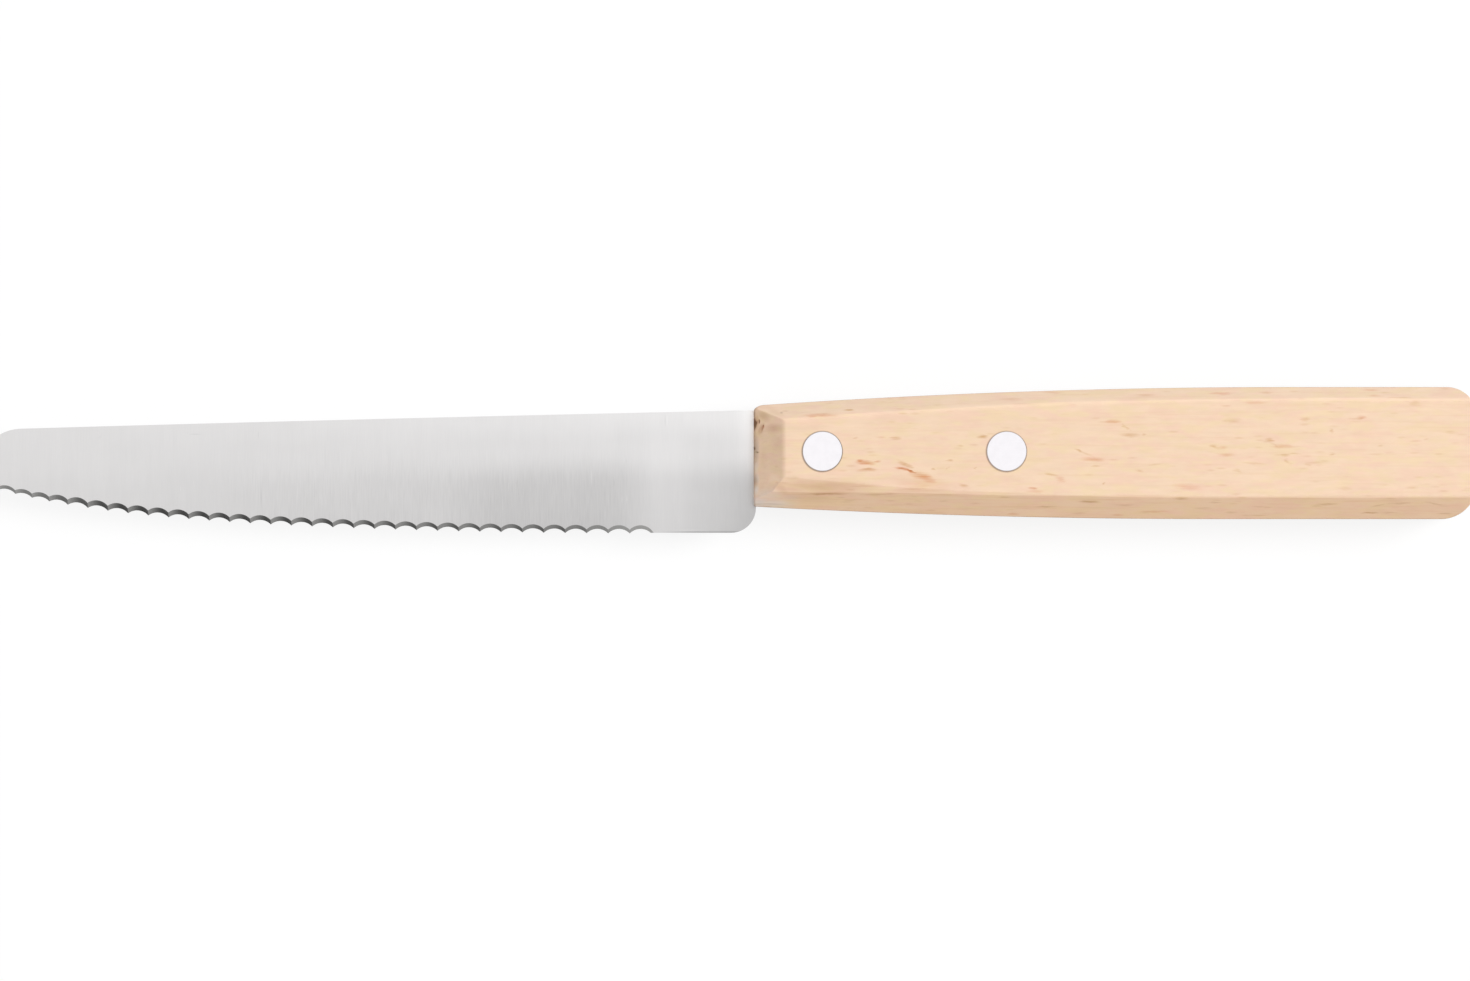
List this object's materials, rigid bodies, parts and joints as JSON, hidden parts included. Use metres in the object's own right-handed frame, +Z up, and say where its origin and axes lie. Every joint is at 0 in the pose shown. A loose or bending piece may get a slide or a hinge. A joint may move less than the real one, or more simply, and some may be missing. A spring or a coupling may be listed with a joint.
{
  "type": "serrated table knife",
  "caption": "Table knife with a scalloped, serrated steel blade and a bevelled beech handle riveted onto its half tang.",
  "frame": {"origin": "middle of the knife's length and width, on the surface that it lies on", "axes": "+X along the knife from its tip to its butt, +Y across it towards the spine, +Z up from the cheek that it rests on to the cheek with the ground scallops"},
  "size_m": [0.2114, 0.0206, 0.012],
  "materials": {
    "blade_steel": "fine brushing across the blade, rougher ground hollows along its edge",
    "handle_beech": "bare sanded beech, fine grain and short reddish ray flecks",
    "rivet_aluminium": "ground flush, satin"
  },
  "bodies": {
    "root": {"blade": "blade_steel", "handle": "handle_beech", "rivet_front": "rivet_aluminium", "rivet_rear": "rivet_aluminium"}
  },
  "joints": []
}
